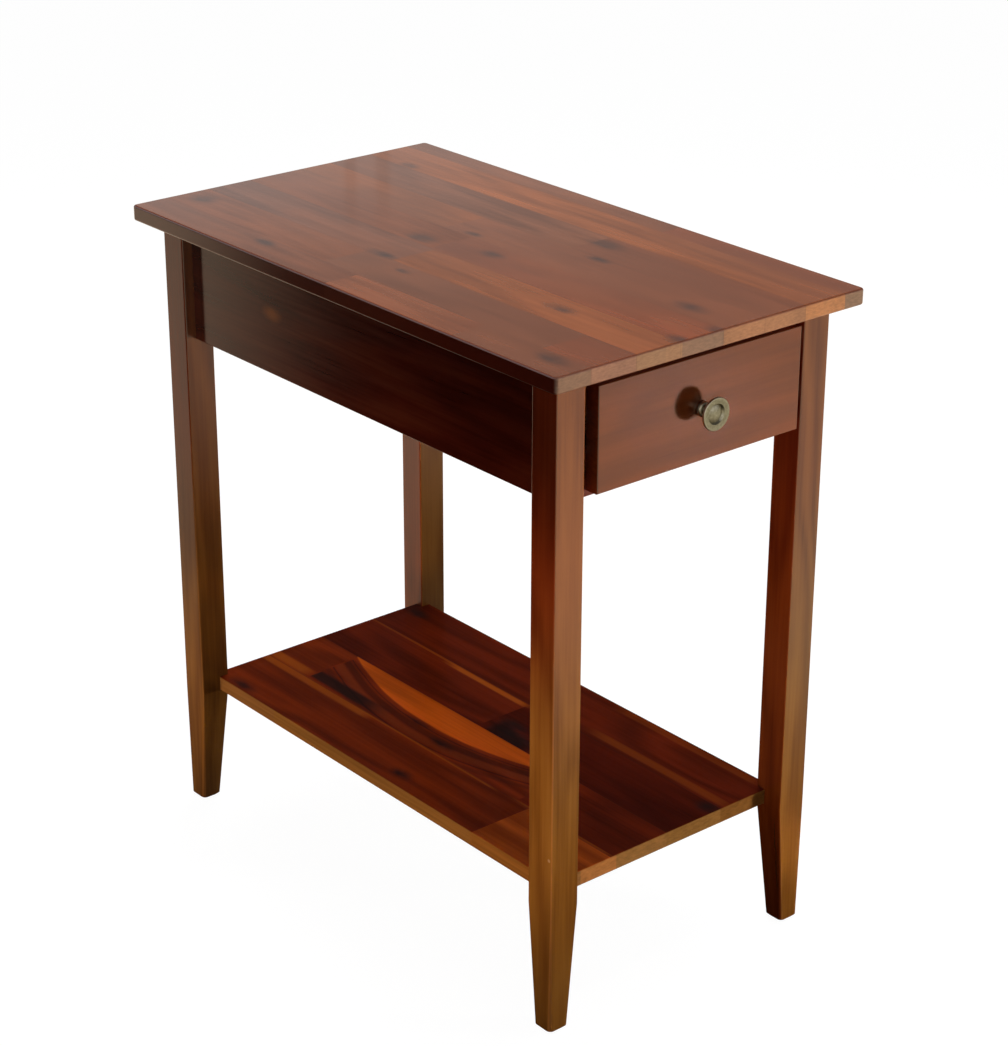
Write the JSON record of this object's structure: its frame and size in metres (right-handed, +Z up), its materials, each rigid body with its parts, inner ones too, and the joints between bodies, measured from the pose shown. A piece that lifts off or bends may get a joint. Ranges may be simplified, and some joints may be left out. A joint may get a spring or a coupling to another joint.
{
  "type": "chairside table",
  "caption": "Narrow wooden side table with tapered square legs, a low shelf and one dovetailed drawer on ball slides under an overhanging top.",
  "frame": {"origin": "on the floor under the middle of the table top", "axes": "+Z up, -Y towards the drawer front, +X to the right when facing the drawer front"},
  "size_m": [0.352, 0.6125, 0.63],
  "materials": {
    "top_wood": "semi-gloss",
    "leg_wood": "semi-gloss",
    "apron_wood": "semi-gloss",
    "inner_wood": "satin",
    "shelf_wood": "semi-gloss",
    "dowel_wood": "satin",
    "front_wood": "semi-gloss",
    "box_wood": "satin",
    "panel_wood": "satin",
    "screw_steel": "zinc-plated",
    "slide_steel": "zinc-plated",
    "ball_steel": "polished",
    "knob_metal": "antiqued, satin"
  },
  "bodies": {
    "table": {"table_top": "top_wood", "leg_front_left": "leg_wood", "leg_front_right": "leg_wood", "leg_back_left": "leg_wood", "leg_back_right": "leg_wood", "side_apron_left": "apron_wood", "side_apron_right": "apron_wood", "back_apron": "apron_wood", "front_top_rail": "apron_wood", "front_bottom_rail": "apron_wood", "top_cleat_left": "inner_wood", "top_cleat_right": "inner_wood", "corner_block_left": "inner_wood", "corner_block_right": "inner_wood", "lower_shelf": "shelf_wood", "side_apron_dowels": "dowel_wood", "back_apron_dowels": "dowel_wood", "rail_dowels": "dowel_wood", "cleat_screws": "screw_steel", "top_screws": "screw_steel", "rail_screws": "screw_steel", "shelf_screws": "screw_steel", "slide_left_outer": "slide_steel", "slide_right_outer": "slide_steel", "slide_outer_screws": "screw_steel"},
    "drawer": {"drawer_front": "front_wood", "drawer_box_front": "box_wood", "drawer_box_back": "box_wood", "drawer_side_left": "box_wood", "drawer_side_right": "box_wood", "drawer_bottom": "panel_wood", "drawer_knob": "knob_metal", "knob_screw": "screw_steel", "drawer_front_screws": "screw_steel", "slide_left_inner": "slide_steel", "slide_right_inner": "slide_steel", "slide_inner_screws": "screw_steel"},
    "ball_retainer_left": {"slide_left_retainer": "slide_steel", "slide_left_balls": "ball_steel"},
    "ball_retainer_right": {"slide_right_retainer": "slide_steel", "slide_right_balls": "ball_steel"}
  },
  "joints": [
    {"name": "drawer_slide", "type": "slide", "parent": "table", "child": "drawer", "axis": [0, -1, 0], "range_m": [0, 0.3]},
    {"name": "retainer_left_slide", "type": "slide", "parent": "table", "child": "ball_retainer_left", "axis": [0, -1, 0], "range_m": [0, 0.15]},
    {"name": "retainer_right_slide", "type": "slide", "parent": "table", "child": "ball_retainer_right", "axis": [0, -1, 0], "range_m": [0, 0.15]}
  ],
  "couplings": [
    {"joint": "retainer_left_slide", "follows": "drawer_slide", "ratio": 0.5},
    {"joint": "retainer_right_slide", "follows": "drawer_slide", "ratio": 0.5}
  ]
}
